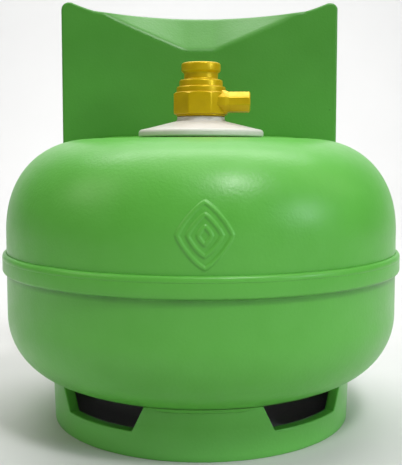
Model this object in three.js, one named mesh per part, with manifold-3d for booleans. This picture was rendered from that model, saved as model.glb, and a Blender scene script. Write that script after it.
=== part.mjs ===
// Small squat liquefied-gas cylinder, about 3 kg of gas, with a valve guard and a foot ring.
// Millimetres. The vessel axis is Z, the floor is Z = 0 and the valve guard stands at +Y.
import * as THREE from 'three';
import { mergeVertices } from 'three/addons/utils/BufferGeometryUtils.js';
import Module from 'manifold-3d';

const wasm = await Module();
wasm.setup();

// Driving dimensions
const BODY_R = 130;          // outside radius of the vessel wall
const WALL = 2.4;            // steel thickness of both shells
const GAP = 0.3;             // clearance between pieces that touch
const SEG = 72;              // facets round the large turned parts
const SMALL_SEG = 36;        // facets round the valve parts

const TOP_SHOULDER_Z = 125;    // height where the wall turns into the upper head
const TOP_KNUCKLE_R = 57.7;    // shoulder of the upper head, measured inwards
const TOP_KNUCKLE_Z = 60.9;    // and upwards
const TOP_SQUARE = 0.898;      // 1 is an ellipse, less is squarer
const TOP_CROWN = 3000;        // almost flat crown of the upper head
const LOW_SHOULDER_Z = 72.1;   // height where the wall turns into the lower head
const LOW_KNUCKLE = 43;        // shoulder radius of the lower head
const LOW_CROWN = 269;         // dished radius of the lower head
const LAP_LOW_Z = 101.2;       // foot of the widened rim of the lower shell
const LAP_TOP_Z = 109.6;       // upper edge of that rim
const BUNG_HOLE_R = 19.3;      // hole in the upper head for the valve bung

const FOOT_R = 100.9;          // outside radius of the foot ring at its top
const FOOT_BASE_R = 99.8;      // and at the floor
const FOOT_T = 3;              // thickness of the foot ring
const NOTCH_AZ = 40;           // a notch centre, degrees either side of front and back
const NOTCH_Z = 15.5;          // lower edge of a notch
const NOTCH_LOW_HALF = 26.5;   // half width of a notch at its lower edge
const NOTCH_TOP_HALF = 34.5;   // half width of a notch where it meets the head
const FLANGE_REACH = 6.6;      // depth of the turned in edge of a notch
const FLANGE_T = 2.4;          // and its thickness

const GUARD_Y = 50;            // middle plane of the guard
const GUARD_T = 3;             // thickness of the guard
const GUARD_HALF = 101.9;      // half width of the guard
const GUARD_TOP_Z = 287;       // height of the guard corners
const GRIP_Z = 252;            // bend of the grip at the middle
const GRIP_HALF = 11.5;        // half length of the level part of the bend
const GRIP_SLOPE = 0.43;       // rise of the bend towards the corners
const GRIP_END = 79;           // where the bend runs out
const GRIP_BACK = 24;          // how far the grip leans back at the middle
const GRIP_LEAN = 1.25;        // most that it leans back for its height
const GRIP_LOW = 2;            // height under which it hardly leans at all
const GRIP_EDGE_Z = 278.6;     // height of the free edge at the middle

const VALVE_TURN = -3.8;       // the valve is screwed home slightly turned, degrees
const BLOCK_AF = 36;           // across the flats of the eight-sided block
const BLOCK_Z = [202.5, 217.4];
const BOSS_END = 33.3;         // end face of the relief boss, from the axis
const BOSS_HALF_Y = 13.3;      // half depth of the relief boss
const BOSS_HALF_Z = 6.6;       // half height of the relief boss
const BOSS_Z = 210.8;          // centre height of the relief boss
const LIP_Z = 237.2;           // top of the outlet lip

const group = new THREE.Group();
group.name = 'propane_tank';

const GREEN = 0x3f9a3a;
const BRASS = 0xc9a20a;

// Joins shared corners, drops empty triangles and turns the surface outwards.
function closed(source) {
  let g = source.clone();
  g.deleteAttribute('normal');
  g.deleteAttribute('uv');
  g = mergeVertices(g, 1e-4);
  const p = g.attributes.position;
  const index = [];
  let volume = 0;
  const a = new THREE.Vector3();
  const b = new THREE.Vector3();
  const c = new THREE.Vector3();
  for (let i = 0; i < g.index.count; i += 3) {
    const i0 = g.index.getX(i);
    const i1 = g.index.getX(i + 1);
    const i2 = g.index.getX(i + 2);
    if (i0 === i1 || i1 === i2 || i2 === i0) continue;
    index.push(i0, i1, i2);
    a.fromBufferAttribute(p, i0);
    b.fromBufferAttribute(p, i1);
    c.fromBufferAttribute(p, i2);
    volume += a.dot(b.clone().cross(c));
  }
  if (volume < 0) index.reverse();
  g.setIndex(index);
  return g;
}

function toSolid(g) {
  const clean = closed(g);
  return new wasm.Manifold(new wasm.Mesh({
    numProp: 3,
    vertProperties: new Float32Array(clean.attributes.position.array),
    triVerts: new Uint32Array(clean.index.array),
  }));
}

function fromSolid(solid) {
  const m = solid.getMesh();
  const g = new THREE.BufferGeometry();
  g.setAttribute('position', new THREE.BufferAttribute(new Float32Array(m.vertProperties), 3));
  g.setIndex(Array.from(m.triVerts));
  return g;
}

function addPiece(name, geometry, color, roughness, metalness) {
  const material = new THREE.MeshStandardMaterial({ color, roughness, metalness });
  const mesh = new THREE.Mesh(closed(geometry), material);
  mesh.name = name;
  group.add(mesh);
}

// Turned piece about Z from [radius, height] pairs. A ring profile is closed on itself.
function turned(pairs, segments = SMALL_SEG) {
  const points = pairs.map(([r, z]) => new THREE.Vector2(r, z));
  if (pairs[0][0] > 0) points.push(points[0].clone());
  return new THREE.LatheGeometry(points, segments).rotateX(Math.PI / 2);
}

// Prism along Y from an outline in X and Z, from y0 to y1.
function prismY(outline, y0, y1, holes = []) {
  const shape = new THREE.Shape(outline.map(([x, z]) => new THREE.Vector2(x, z)));
  for (const hole of holes) {
    shape.holes.push(new THREE.Path(hole.map(([x, z]) => new THREE.Vector2(x, z))));
  }
  const g = new THREE.ExtrudeGeometry(shape, { depth: y1 - y0, bevelEnabled: false });
  return g.rotateX(Math.PI / 2).translate(0, y1, 0);
}

// The shoulder of the upper head at parameter t: radius, height and the direction that it faces.
const TOP_FLAT_R = BODY_R - TOP_KNUCKLE_R;
function upperShoulder(t) {
  const c = Math.cos(t);
  const s = Math.sin(t);
  return {
    r: TOP_FLAT_R + TOP_KNUCKLE_R * c ** TOP_SQUARE,
    z: TOP_SHOULDER_Z + TOP_KNUCKLE_Z * s ** TOP_SQUARE,
    out: new THREE.Vector2(
      TOP_KNUCKLE_Z * c ** (2 - TOP_SQUARE),
      TOP_KNUCKLE_R * s ** (2 - TOP_SQUARE),
    ).normalize(),
  };
}

const crownRise = (r) => TOP_SHOULDER_Z + TOP_KNUCKLE_Z + (TOP_FLAT_R ** 2 - r ** 2) / (2 * TOP_CROWN);

// Half section of the upper head, from the wall to radius rEnd. The offset moves it outwards.
function upperHead(offset, rEnd) {
  const pairs = [];
  for (let i = 0; i <= 10; i += 1) {
    const { r, z, out } = upperShoulder((i / 10) * (Math.PI / 2));
    pairs.push([r + out.x * offset, z + out.y * offset]);
  }
  pairs.push([rEnd, crownRise(rEnd) + offset]);
  return pairs;
}

// Height of the outside of the upper head above the point x, y.
function crownHeight(x, y, offset = 0) {
  const r = Math.hypot(x, y);
  if (r < TOP_FLAT_R) return crownRise(r) + offset;
  const { z, out } = upperShoulder(Math.acos(((r - TOP_FLAT_R) / TOP_KNUCKLE_R) ** (1 / TOP_SQUARE)));
  return z + offset / out.y;
}

// Half section of the dished lower head, from the wall to radius rEnd.
function lowerHead(offset, rEnd) {
  const flat = BODY_R - LOW_KNUCKLE;
  const sink = Math.sqrt((LOW_CROWN - LOW_KNUCKLE) ** 2 - flat ** 2);
  const join = Math.atan2(flat, sink);
  const pairs = [];
  for (let i = 0; i <= 7; i += 1) {
    const t = (i / 7) * (Math.PI / 2 - join);
    const reach = LOW_KNUCKLE + offset;
    pairs.push([flat + reach * Math.cos(t), LOW_SHOULDER_Z - reach * Math.sin(t)]);
  }
  const outer = LOW_CROWN + offset;
  const last = Math.asin(rEnd / outer);
  for (let i = 1; i <= 4; i += 1) {
    const t = join + (last - join) * (i / 4);
    pairs.push([outer * Math.sin(t), LOW_SHOULDER_Z + sink - outer * Math.cos(t)]);
  }
  return pairs;
}

// Upper shell, with a raised mark of nested rounded diamonds on its front
const upperOuter = [[BODY_R, LAP_LOW_Z + 0.7], ...upperHead(0, BUNG_HOLE_R)];
const upperInner = [[BODY_R - WALL, LAP_LOW_Z + 0.7], ...upperHead(-WALL, BUNG_HOLE_R)].reverse();
let upperShell = toSolid(turned([...upperOuter, ...upperInner], SEG));

const MARK_Z = 133.6;
const MARK_HEIGHT = 0.8;
function diamond(halfWidth, halfHeight) {
  const outline = [];
  for (let i = 0; i < 32; i += 1) {
    const t = (i / 32) * 2 * Math.PI;
    const c = Math.cos(t);
    const s = Math.sin(t);
    outline.push([
      halfWidth * Math.sign(c) * Math.abs(c) ** 1.6,
      MARK_Z + halfHeight * Math.sign(s) * Math.abs(s) ** 1.6,
    ]);
  }
  return outline;
}
const markSkin = toSolid(turned([
  [BODY_R + MARK_HEIGHT, MARK_Z - 22],
  ...upperHead(MARK_HEIGHT, 60).slice(0, 8),
  ...upperHead(-1, 60).slice(0, 8).reverse(),
  [BODY_R - 1, MARK_Z - 22],
], SEG));
for (const [halfWidth, halfHeight] of [[15.5, 18.4], [10, 12], [4.6, 5.8]]) {
  const hole = diamond(halfWidth - 2.1, halfHeight - 2.5);
  const line = prismY(diamond(halfWidth, halfHeight), -150, -100, [hole]);
  upperShell = upperShell.add(toSolid(line).intersect(markSkin));
}
addPiece('upper_shell', fromSolid(upperShell), GREEN, 0.4, 0.1);

// Lower shell: its rim is widened by one wall so the upper shell seats inside it
const LAP_R = BODY_R + GAP + WALL;
addPiece('lower_shell', turned([
  ...lowerHead(0, 0).reverse(),
  [BODY_R, LAP_LOW_Z - 3],
  [BODY_R + 0.5, LAP_LOW_Z - 1.9],
  [LAP_R - 0.5, LAP_LOW_Z - 0.1],
  [LAP_R, LAP_LOW_Z + 1],
  [LAP_R, LAP_TOP_Z],
  [BODY_R + GAP, LAP_TOP_Z],
  [BODY_R + GAP, LAP_LOW_Z],
  [BODY_R - WALL, LAP_LOW_Z - 3.4],
  ...lowerHead(-WALL, 0),
], SEG), GREEN, 0.4, 0.1);

// Weld bead that closes the upper edge of the lap
addPiece('girth_weld', turned([
  [BODY_R + GAP, LAP_TOP_Z + GAP],
  [LAP_R + 0.1, LAP_TOP_Z + GAP],
  [LAP_R, LAP_TOP_Z + 1.5],
  [LAP_R - 0.8, LAP_TOP_Z + 2.6],
  [BODY_R + GAP, LAP_TOP_Z + 3.4],
], SEG), GREEN, 0.4, 0.1);

// Steel bung for the valve, let into the upper head, and its weld
const HEAD_TOP_Z = crownHeight(0, 0);
const SHANK_R = 12;
addPiece('valve_bung', turned([
  [SHANK_R + GAP, HEAD_TOP_Z - 9],
  [BUNG_HOLE_R - GAP, HEAD_TOP_Z - 9],
  [BUNG_HOLE_R - GAP, HEAD_TOP_Z + GAP],
  [24, HEAD_TOP_Z + GAP],
  [24, HEAD_TOP_Z + 3.6],
  [16, HEAD_TOP_Z + 4.6],
  [15.4, HEAD_TOP_Z + 8.5],
  [SHANK_R + 1.2, HEAD_TOP_Z + 8.5],
  [SHANK_R + GAP, HEAD_TOP_Z + 7.6],
]), 0x6d7276, 0.5, 0.8);
addPiece('bung_weld', turned([
  [24 + GAP, HEAD_TOP_Z + GAP],
  [27.8, HEAD_TOP_Z + GAP],
  [27, HEAD_TOP_Z + 1.6],
  [25.6, HEAD_TOP_Z + 2.7],
  [24 + GAP, HEAD_TOP_Z + 3.1],
]), 0x6d7276, 0.6, 0.7);

// White moulded collar between the head and the valve
addPiece('neck_collar', turned([
  [12.8, 198.4],
  [12.8, 201],
  [15.7, 201],
  [16.2, 200.5],
  [16.2, 198.2],
  [38, 193],
  [41, 191.8],
  [42.5, 189.9],
  [42.3, 188.2],
  [41.2, HEAD_TOP_Z + GAP],
  [39.4, HEAD_TOP_Z + GAP],
  [39.4, 190],
  [37.6, 191],
  [17, 195.7],
], 56), 0xecebe6, 0.45, 0);

// Foot ring: a rolled band with four flanged notches
const footTop = (r) => {
  const flat = BODY_R - LOW_KNUCKLE;
  const reach = LOW_KNUCKLE + GAP + 0.1;
  return LOW_SHOULDER_Z - Math.sqrt(reach ** 2 - (r - flat) ** 2);
};
const footBand = turned([
  [FOOT_BASE_R - 0.4, 0],
  [FOOT_BASE_R, 0.4],
  [FOOT_R, footTop(FOOT_R)],
  [FOOT_R - FOOT_T, footTop(FOOT_R - FOOT_T)],
  [FOOT_BASE_R - FOOT_T, 0.4],
  [FOOT_BASE_R - FOOT_T + 0.4, 0],
], SEG);
function notchOutline(grow) {
  const low = NOTCH_Z - grow;
  const slope = (NOTCH_TOP_HALF - NOTCH_LOW_HALF) / (32 - NOTCH_Z);
  const halfAt = (z) => NOTCH_LOW_HALF + grow + slope * (z - NOTCH_Z);
  const corner = 1.6 + grow;
  const turn = Math.atan2(1, slope);
  const start = halfAt(low) - corner * Math.tan(turn / 2);
  const right = [];
  for (let i = 0; i <= 4; i += 1) {
    const t = (i / 4) * turn;
    right.push([start + corner * Math.sin(t), low + corner * (1 - Math.cos(t))]);
  }
  right.push([halfAt(50), 50]);
  const left = right.map(([x, z]) => [-x, z]).reverse();
  return [...right, ...left];
}
const headUnderside = toSolid(turned([
  ...lowerHead(GAP + 0.1, 0).reverse(),
  [0, LOW_SHOULDER_Z],
], SEG));
const flangeBand = toSolid(turned([
  [FOOT_BASE_R - FLANGE_REACH, NOTCH_Z - 6],
  [FOOT_R - 1.4, NOTCH_Z - 6],
  [FOOT_R - 1.4, 40],
  [FOOT_BASE_R - FLANGE_REACH, 40],
], SEG));
let footRing = toSolid(footBand);
for (const az of [NOTCH_AZ, -NOTCH_AZ, 180 - NOTCH_AZ, 180 + NOTCH_AZ]) {
  const turn = THREE.MathUtils.degToRad(az);
  const cut = toSolid(prismY(notchOutline(0), -115, -70).rotateZ(turn));
  const rim = toSolid(prismY(notchOutline(FLANGE_T), -115, -70).rotateZ(turn));
  footRing = footRing.add(flangeBand.intersect(rim));
  footRing = footRing.subtract(cut);
}
footRing = footRing.subtract(headUnderside);
addPiece('foot_ring', fromSolid(footRing), GREEN, 0.4, 0.1);

// Four weld runs between the foot ring and the lower head
const FOOT_WELD_HALF = { front: 17.5, right: 27, back: 17.5, left: 27 };
const WELD_AT = { front: 0, right: 90, back: 180, left: 270 };
for (const side of Object.keys(WELD_AT)) {
  const half = FOOT_WELD_HALF[side];
  const steps = Math.round(half / 2.2);
  const rings = [];
  for (let i = 0; i <= steps; i += 1) {
    const az = THREE.MathUtils.degToRad(WELD_AT[side] - half + (2 * half * i) / steps);
    const section = [
      [FOOT_R + GAP, footTop(FOOT_R) - 2.3],
      [FOOT_R + 1.1, footTop(FOOT_R) - 1.3],
      [FOOT_R + 2.1, footTop(FOOT_R + 2.1) - 0.5],
      [FOOT_R + 2.5, footTop(FOOT_R + 2.5) - 0.1],
      [FOOT_R + GAP, footTop(FOOT_R + GAP) - 0.1],
    ];
    rings.push(section.map(([r, z]) => new THREE.Vector3(r * Math.sin(az), -r * Math.cos(az), z)));
  }
  addPiece(`foot_weld_${side}`, skin(rings), GREEN, 0.4, 0.1);
}

// Closed body through a row of equal sections, with a fan over each end.
function skin(rings) {
  const points = rings.flat();
  const n = rings[0].length;
  const index = [];
  for (let i = 0; i < rings.length - 1; i += 1) {
    for (let j = 0; j < n; j += 1) {
      const k = (j + 1) % n;
      index.push(i * n + j, (i + 1) * n + j, (i + 1) * n + k);
      index.push(i * n + j, (i + 1) * n + k, i * n + k);
    }
  }
  const end = (rings.length - 1) * n;
  for (let j = 1; j < n - 1; j += 1) {
    index.push(0, j, j + 1);
    index.push(end, end + j + 1, end + j);
  }
  const g = new THREE.BufferGeometry().setFromPoints(points);
  g.setIndex(index);
  return g;
}

// Guard plate: flat sheet whose middle is pressed back above a V shaped bend as a grip
const guardCrease = (x) => GRIP_Z + GRIP_SLOPE * Math.max(0, Math.abs(x) - GRIP_HALF);
const GRIP_RUN_OUT_Z = guardCrease(GRIP_END);
function guardTop(x) {
  const a = Math.abs(x);
  if (a <= GRIP_END) return GRIP_EDGE_Z + (GRIP_RUN_OUT_Z - GRIP_EDGE_Z) * (a / GRIP_END) ** 5;
  const round = 5.5;
  const from = GUARD_HALF - round;
  const rise = GUARD_TOP_Z - GRIP_RUN_OUT_Z;
  if (a < from) return GRIP_RUN_OUT_Z + rise * ((a - GRIP_END) / (from - GRIP_END)) ** 1.2;
  return GUARD_TOP_Z - round + Math.sqrt(Math.max(0, round ** 2 - (a - from) ** 2));
}
// How far the free edge is set back: a smooth curve that fades out where the grip gets low
function gripBack(a, tall) {
  if (a >= GRIP_END) return 0;
  const curve = GRIP_BACK * (1 - (a / GRIP_END) ** 2);
  const most = (GRIP_LEAN * tall ** 2) / (tall + GRIP_LOW);
  return (curve ** -4 + most ** -4) ** -0.25;
}
function guardColumn(x) {
  const a = Math.abs(x);
  const foot = crownHeight(x, GUARD_Y - GUARD_T / 2, GAP) + 0.2;
  const top = guardTop(x);
  const crease = Math.min(guardCrease(x), top - 0.8);
  const tall = top - crease;
  const back = gripBack(a, tall);
  const bend = Math.min(3, tall * 0.45);
  const rows = [];
  for (let i = 0; i <= 3; i += 1) rows.push([GUARD_Y, foot + ((crease - bend - foot) * i) / 3]);
  const flapY = (t) => GUARD_Y + back * t;
  const flapZ = (t) => crease + tall * t;
  const share = bend / tall;
  for (let i = 1; i <= 4; i += 1) {
    const t = i / 4;
    const y = (1 - t) ** 2 * GUARD_Y + 2 * t * (1 - t) * GUARD_Y + t * t * flapY(share);
    const z = (1 - t) ** 2 * (crease - bend) + 2 * t * (1 - t) * crease + t * t * flapZ(share);
    rows.push([y, z]);
  }
  for (let i = 1; i <= 4; i += 1) {
    const t = share + (1 - share) * (i / 4);
    rows.push([flapY(t), flapZ(t)]);
  }
  return rows.map(([y, z]) => new THREE.Vector3(x, y, z));
}
const guardX = [];
for (let i = 0; i <= 9; i += 1) guardX.push((GRIP_END * i) / 9);
guardX.push(5.75, GRIP_HALF, 83.5, 88, 92.5, 96.4, 98.7, 100.3, 101.4, GUARD_HALF);
guardX.sort((p, q) => p - q);
const guardAllX = [...guardX.slice(1).map((x) => -x).reverse(), ...guardX];
const grid = guardAllX.map(guardColumn);
const rowCount = grid[0].length;
function gridNormal(i, j) {
  const across = grid[Math.min(i + 1, grid.length - 1)][j].clone().sub(grid[Math.max(i - 1, 0)][j]);
  const up = grid[i][Math.min(j + 1, rowCount - 1)].clone().sub(grid[i][Math.max(j - 1, 0)]);
  return up.cross(across).normalize();
}
const guardRings = grid.map((column, i) => {
  const half = GUARD_T / 2;
  const level = i === 0 || i === grid.length - 1;
  const face = (side) => column.map((p, j) => {
    const n = level ? new THREE.Vector3(0, 1, 0) : gridNormal(i, j);
    if (n.y < 0) n.negate();
    const q = p.clone().addScaledVector(n, side * half);
    q.x = p.x;
    return q;
  });
  return [...face(-1), ...face(1).reverse()];
});
addPiece('guard_plate', skin(guardRings), GREEN, 0.4, 0.1);

// Fillet welds along both sides of the guard where it stands on the head
for (const [name, side] of [['guard_weld_front', -1], ['guard_weld_back', 1]]) {
  const rings = [];
  for (let i = 0; i <= 24; i += 1) {
    const x = -92 + (184 * i) / 24;
    const face = GUARD_Y + side * (GUARD_T / 2 + GAP);
    const section = [
      [face, 0, GAP + 0.1],
      [face, 3.6, GAP],
      [face + side * 1.6, 1.9, GAP],
      [face + side * 3.6, 0, GAP + 0.1],
    ].map(([y, lift, clear]) => new THREE.Vector3(x, y, crownHeight(x, y, clear) + lift));
    rings.push(section);
  }
  addPiece(name, skin(rings), GREEN, 0.4, 0.1);
}

// Valve body: threaded shank, eight-sided block, relief boss, collars and outlet lip
const CHAMBER_R = 8;
const SEAT_Z = 215;
const RELIEF_BORE_R = 4.6;
const RELIEF_SEAT_X = 13;
const turnValve = (g) => g.rotateZ(THREE.MathUtils.degToRad(VALVE_TURN));
const along = (g) => turnValve(g.rotateY(Math.PI / 2).translate(0, 0, BOSS_Z));

const spindle = toSolid(turned([
  [0, 177],
  [SHANK_R - 1.6, 177],
  [SHANK_R, 178.4],
  [SHANK_R, 201.3],
  [16.6, 201.3],
  [16.8, BLOCK_Z[0]],
  [16.8, BLOCK_Z[1]],
  [16.6, 218.2],
  [16.6, 220.3],
  [15.9, 221],
  [14.7, 221.2],
  [14.7, 224.6],
  [13.9, 225.5],
  [11.6, 225.9],
  [11.5, 230.2],
  [12.2, 231],
  [13.3, 232.3],
  [13.3, 235.4],
  [12.6, 236.6],
  [11.4, LIP_Z],
  [0, LIP_Z],
]));
const blockR = BLOCK_AF / 2 / Math.cos(Math.PI / 8);
const octagon = new THREE.CylinderGeometry(blockR, blockR, BLOCK_Z[1] - BLOCK_Z[0], 8);
octagon.rotateX(Math.PI / 2).translate(0, 0, (BLOCK_Z[0] + BLOCK_Z[1]) / 2).rotateZ(Math.PI / 8);
const chamfer = toSolid(turned([
  [0, BLOCK_Z[0]],
  [18.9, BLOCK_Z[0]],
  [blockR + 0.2, BLOCK_Z[0] + 0.9],
  [blockR + 0.2, BLOCK_Z[1] - 1.5],
  [17.6, BLOCK_Z[1]],
  [0, BLOCK_Z[1]],
]));
const by = BOSS_HALF_Y;
const bz = BOSS_HALF_Z;
const bevelY = 5.2;
const bevelZ = 4.2;
const bossOutline = [
  [-by, -bz + bevelZ], [-by + bevelY, -bz], [by - bevelY, -bz], [by, -bz + bevelZ],
  [by, bz - bevelZ], [by - bevelY, bz], [-by + bevelY, bz], [-by, bz - bevelZ],
];
const bossRings = [[12, 1], [BOSS_END - 1, 1], [BOSS_END - 0.3, 0.97], [BOSS_END, 0.92]].map(
  ([x, s]) => bossOutline.map(([y, z]) => new THREE.Vector3(x, y * s, z * s)),
);
const boss = skin(bossRings).translate(0, 0, BOSS_Z);
const outlet = turned([
  [0, LIP_Z + 2],
  [9.6, LIP_Z + 2],
  [9.6, LIP_Z],
  [8.8, LIP_Z - 1],
  [8.8, 226],
  [6, 226],
  [6, 219],
  [3.2, 219],
  [3.2, SEAT_Z],
  [CHAMBER_R, SEAT_Z],
  [CHAMBER_R, 170],
  [0, 170],
]);
const reliefBore = turned([
  [0, 4],
  [1.6, 4],
  [1.6, RELIEF_SEAT_X],
  [RELIEF_BORE_R, RELIEF_SEAT_X],
  [RELIEF_BORE_R, BOSS_END - 0.8],
  [RELIEF_BORE_R + 0.8, BOSS_END],
  [RELIEF_BORE_R + 0.8, BOSS_END + 2],
  [0, BOSS_END + 2],
], 24);
const valveBody = spindle
  .add(toSolid(turnValve(octagon)).intersect(chamfer))
  .add(toSolid(turnValve(boss)))
  .subtract(toSolid(outlet))
  .subtract(toSolid(along(reliefBore)));
addPiece('valve_body', fromSolid(valveBody), BRASS, 0.25, 0.9);

addPiece('outlet_seal', turned([
  [5.4, 226 + GAP],
  [8.5, 226 + GAP],
  [8.5, 229.6],
  [6, 229.6],
  [5.4, 229],
]), 0x1b1b1c, 0.7, 0);

// Sprung pin that opens the valve when the regulator presses it down
addPiece('valve_pin', turned([
  [0, 197],
  [1.9, 197],
  [2.3, 197.6],
  [2.3, 208.6],
  [5.6, 208.6],
  [5.6, 211.8],
  [2.4, 211.8],
  [2.4, 231.4],
  [1.8, 232.2],
  [0, 232.2],
], 24), 0xb9bcc0, 0.3, 1);
addPiece('pin_seal', turned([
  [2.7, 211.8 + GAP],
  [6.4, 211.8 + GAP],
  [6.4, SEAT_Z - GAP],
  [2.7, SEAT_Z - GAP],
], 24), 0x202020, 0.7, 0);

class Helix extends THREE.Curve {
  constructor(radius, z0, z1, turns) {
    super();
    Object.assign(this, { radius, z0, z1, turns });
  }

  getPoint(t) {
    const a = t * this.turns * 2 * Math.PI;
    const z = this.z0 + (this.z1 - this.z0) * t;
    return new THREE.Vector3(this.radius * Math.cos(a), this.radius * Math.sin(a), z);
  }
}

function coil(radius, wire, z0, z1, turns) {
  const shape = new THREE.Shape();
  for (let i = 0; i < 6; i += 1) {
    const t = (i / 6) * 2 * Math.PI;
    if (i === 0) shape.moveTo(wire, 0);
    else shape.lineTo(wire * Math.cos(t), wire * Math.sin(t));
  }
  const extrudePath = new Helix(radius, z0 + wire, z1 - wire, turns);
  return new THREE.ExtrudeGeometry(shape, { steps: Math.round(turns * 14), extrudePath });
}

const RETAINER_TOP = 188.5;
addPiece('pin_spring', coil(4.1, 0.7, RETAINER_TOP + GAP, 208.6 - GAP, 5.5), 0xa8abae, 0.35, 1);
addPiece('spring_retainer', turned([
  [2.6, 182.5],
  [CHAMBER_R - 0.9, 182.5],
  [CHAMBER_R - GAP, 183.1],
  [CHAMBER_R - GAP, RETAINER_TOP],
  [2.6, RETAINER_TOP],
], 32), BRASS, 0.35, 0.9);

// Pressure relief: sprung poppet behind a screwed retainer in the side boss
addPiece('relief_seal', along(turned([
  [0, RELIEF_SEAT_X + GAP],
  [3.6, RELIEF_SEAT_X + GAP],
  [3.6, RELIEF_SEAT_X + 1.6],
  [0, RELIEF_SEAT_X + 1.6],
], 20)), 0x202020, 0.7, 0);
addPiece('relief_poppet', along(turned([
  [0, RELIEF_SEAT_X + 1.6 + GAP],
  [3.9, RELIEF_SEAT_X + 1.6 + GAP],
  [3.9, RELIEF_SEAT_X + 4],
  [1.3, RELIEF_SEAT_X + 4],
  [1.3, 25.4],
  [0.9, 25.9],
  [0, 25.9],
], 20)), 0xb9bcc0, 0.3, 1);
addPiece('relief_spring', along(coil(3, 0.5, RELIEF_SEAT_X + 4 + GAP, 27 - GAP, 5)), 0xa8abae, 0.35, 1);
addPiece('relief_retainer', along(turned([
  [1.9, 27],
  [RELIEF_BORE_R - GAP, 27],
  [RELIEF_BORE_R - GAP, 31],
  [RELIEF_BORE_R - 0.8, 31.5],
  [1.9, 31.5],
], 24)), BRASS, 0.3, 0.9);

export default group;
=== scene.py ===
# A small squat gas cylinder with a valve guard and a foot ring, in its finished looks.
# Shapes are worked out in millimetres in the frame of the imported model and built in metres.
import math
import bmesh
import bpy
import numpy as np
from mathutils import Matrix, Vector, noise


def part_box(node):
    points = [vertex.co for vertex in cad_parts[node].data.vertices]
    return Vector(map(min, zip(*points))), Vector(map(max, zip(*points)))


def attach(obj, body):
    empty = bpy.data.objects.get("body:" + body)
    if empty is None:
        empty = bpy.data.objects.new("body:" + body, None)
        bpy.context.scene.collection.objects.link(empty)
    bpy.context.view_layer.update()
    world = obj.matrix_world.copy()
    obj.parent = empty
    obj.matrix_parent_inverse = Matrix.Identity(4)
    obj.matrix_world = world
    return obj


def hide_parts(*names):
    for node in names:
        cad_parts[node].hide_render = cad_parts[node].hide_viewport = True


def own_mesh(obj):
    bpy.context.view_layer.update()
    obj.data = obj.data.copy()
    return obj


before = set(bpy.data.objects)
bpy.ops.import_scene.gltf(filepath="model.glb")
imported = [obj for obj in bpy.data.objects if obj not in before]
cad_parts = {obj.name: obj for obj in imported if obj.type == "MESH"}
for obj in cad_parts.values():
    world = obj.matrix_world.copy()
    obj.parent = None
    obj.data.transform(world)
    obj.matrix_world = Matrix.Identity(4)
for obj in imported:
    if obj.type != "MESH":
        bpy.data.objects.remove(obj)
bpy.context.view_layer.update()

MM = 0.001


def lowest(node, axis):
    """The lowest coordinate of a CAD node along an axis, 0 to 2, to a tenth of a millimetre."""
    return round(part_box(node)[0][axis] / MM, 1)


def highest(node, axis):
    return round(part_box(node)[1][axis] / MM, 1)


# Vessel
BODY_R = 130.0  # outside of the wall
WALL = 2.4
TOP_SHOULDER_Z = 125.0  # where the wall turns into the upper head
TOP_KNUCKLE_R = 57.7  # shoulder of the upper head, measured inwards
TOP_KNUCKLE_Z = 60.9  # and upwards
TOP_SQUARE = 0.898  # 1 is an ellipse, less is squarer
TOP_CROWN = 3000.0  # radius of the nearly flat crown
LOW_SHOULDER_Z = 72.1  # where the wall turns into the lower head
LOW_KNUCKLE = 43.0
LOW_CROWN = 269.0
LAP_LOW_Z = 101.2  # foot of the lap in which the upper shell sits
LAP_TOP_Z = highest("lower_shell", 2)
LAP_R = highest("lower_shell", 0)
LAP_GAP = 0.3  # between the upper shell and the lap
HOLE_R = 19.3  # hole for the bung
BEAD_RISE = 3.0  # height of the girth weld over the lap

# Foot ring
FOOT_R = highest("foot_ring", 0)
FOOT_BASE_R = 99.8  # outside at the floor
FOOT_FULL_Z = 32.0  # height at which the flared wall would reach FOOT_R
FOOT_CLEAR = 0.4  # between the ring and the lower head
SHEET = 3.0  # thickness of the foot ring and the guard
NOTCH_AZ = 40.0  # degrees from the front and from the back
NOTCH_Z = 15.5  # foot of a notch
NOTCH_LOW_HALF = 26.6
NOTCH_TOP_HALF = 34.8
NOTCH_R = 1.6  # lower corners of a notch
FLANGE_REACH = 6.6  # depth of the turned in edge
FLANGE_T = 2.4

# Guard
GUARD_Y = lowest("guard_plate", 1) + SHEET / 2
GUARD_HALF = highest("guard_plate", 0)
GUARD_TOP_Z = highest("guard_plate", 2)
GUARD_CORNER_R = 5.5
GRIP_Z = 252.0  # bend of the grip at the middle
GRIP_HALF = 11.5  # half length of its level part
GRIP_SLOPE = 0.43  # rise of the bend towards the corners
GRIP_KNEE = 3.0  # half length of the eased knees of the bend
GRIP_END = 79.0  # where the bend runs out
GRIP_BACK = 24.0  # how far the grip leans back at the middle
GRIP_LEAN = 1.25  # most that it leans back for its height
GRIP_LOW = 2.0  # height under which it hardly leans at all
GRIP_EDGE_Z = 278.6  # free edge at the middle

# Valve
VALVE_TURN = math.radians(-3.8)  # screwed home a little past square
LIP_Z = highest("valve_body", 2)
SEAT_Z = 215.0  # seat that the pin's washer closes on
BLOCK_APOTHEM = 18.0  # eight-sided spanner block
BLOCK_Z = (202.5, 217.4)
BOSS_Z = 210.8  # axis of the relief boss
BOSS_END = 33.3
RELIEF_X = 13.0  # seat of the relief washer
RELIEF_SPRING_END = 26.7  # where its far end rests
PIN_SPRING_Z = (188.8, 208.3)  # foot and top of the pin's spring


# ---- mesh helpers

def new_piece(name, points, faces, material, body, nodes):
    """A smooth shaded mesh from points in millimetres, riding on a body and standing for CAD nodes."""
    mesh = bpy.data.meshes.new(name)
    mesh.from_pydata([tuple(c * MM for c in p) for p in points], [], faces)
    mesh.validate()
    face_outwards(mesh)
    shade_smooth(mesh)
    mesh.materials.append(material)
    piece = bpy.data.objects.new(name, mesh)
    bpy.context.scene.collection.objects.link(piece)
    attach(piece, body)
    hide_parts(*nodes)
    return piece


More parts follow.
